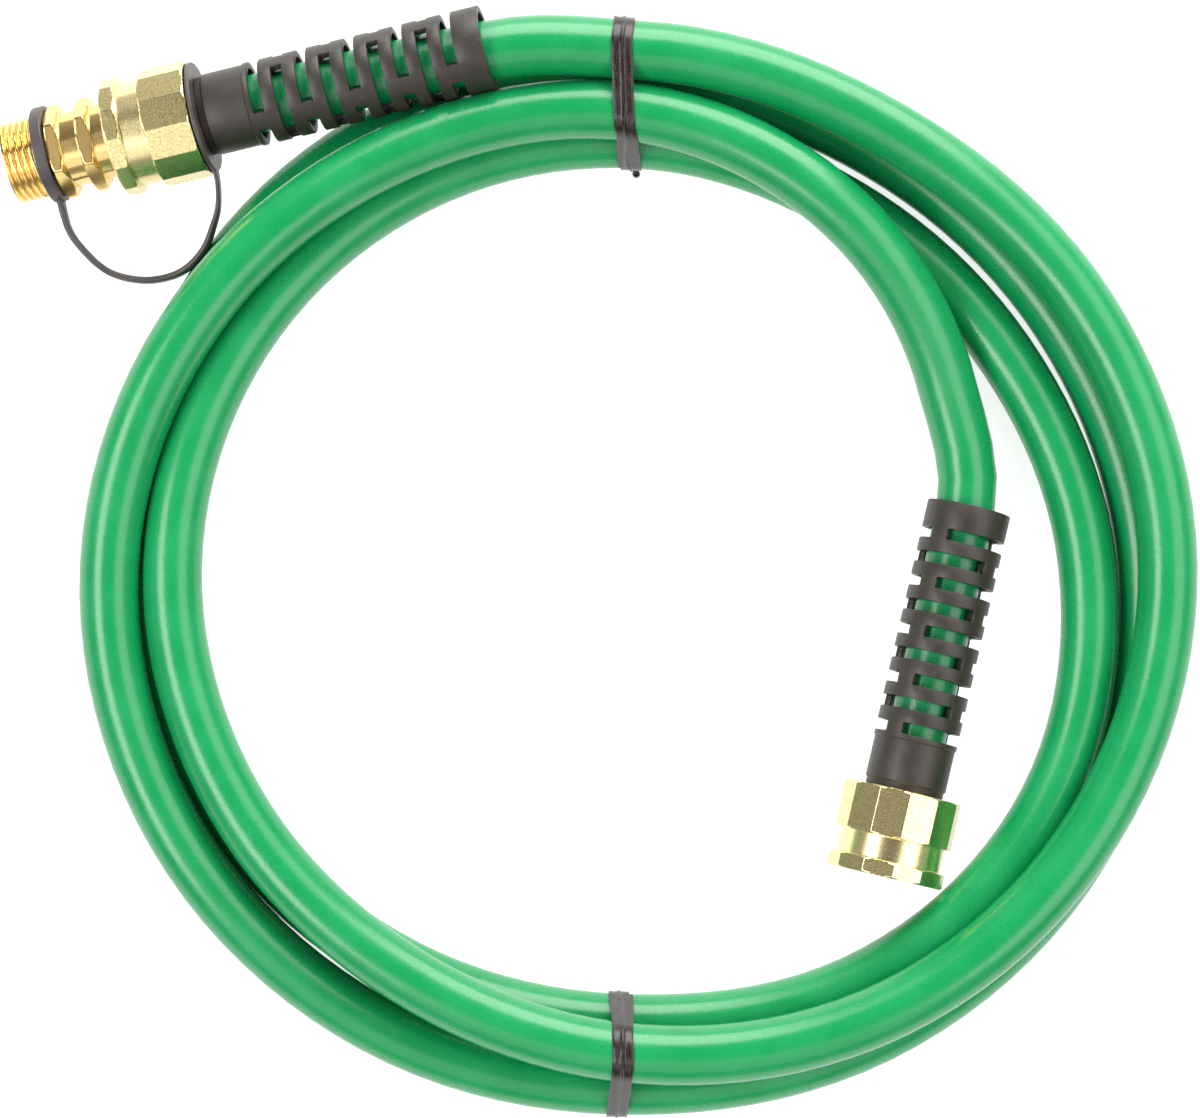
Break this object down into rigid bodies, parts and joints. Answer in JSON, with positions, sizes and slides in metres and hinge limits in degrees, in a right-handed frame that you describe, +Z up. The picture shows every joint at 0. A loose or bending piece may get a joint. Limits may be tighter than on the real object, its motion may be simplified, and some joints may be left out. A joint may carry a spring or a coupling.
{
  "type": "garden hose",
  "caption": "Short green garden leader hose, coiled and tied, with brass swivel nuts, slotted strain-relief sleeves and a tethered double-male adapter.",
  "frame": {"origin": "middle of the part's outline seen from above, on the plane that it lies on", "axes": "+Z up; +X to the right and +Y away, with the coil seen from above as in the picture"},
  "size_m": [0.3906, 0.3638, 0.0483],
  "materials": {
    "hose": "smooth extruded vinyl, semi-gloss",
    "nut": "pale cast brass with turned band and milled facets",
    "adapter": "machined brass, warm and bright",
    "tail": "machined brass, hidden in the coupling",
    "sleeve": "moulded charcoal plastic, fine satin grain",
    "tether": "moulded black rubber",
    "washer": "plain black rubber",
    "tie": "flat black vinyl over a wire core"
  },
  "bodies": {
    "hose_body": {"hose": "hose", "adapter_end_tail": "tail", "adapter_end_ferrule": "tail", "adapter_end_sleeve": "sleeve", "tether": "tether", "far_end_tail": "tail", "far_end_ferrule": "tail", "far_end_sleeve": "sleeve", "top_twist_tie": "tie", "bottom_twist_tie": "tie"},
    "adapter_end_swivel": {"adapter_end_nut": "nut", "adapter_end_washer": "washer", "double_male_adapter": "adapter"},
    "far_end_swivel": {"far_end_nut": "nut", "far_end_washer": "washer"}
  },
  "joints": [
    {"name": "adapter_end_nut_swivel", "type": "hinge", "parent": "hose_body", "child": "adapter_end_swivel", "pos_m": [-0.15774, 0.14055, 0.01951], "axis": [0.9677, 0.2216, 0.1201], "continuous": true},
    {"name": "far_end_nut_swivel", "type": "hinge", "parent": "hose_body", "child": "far_end_swivel", "pos_m": [0.09376, -0.10155, 0.02116], "axis": [0.2297, 0.9716, -0.0576], "continuous": true}
  ]
}
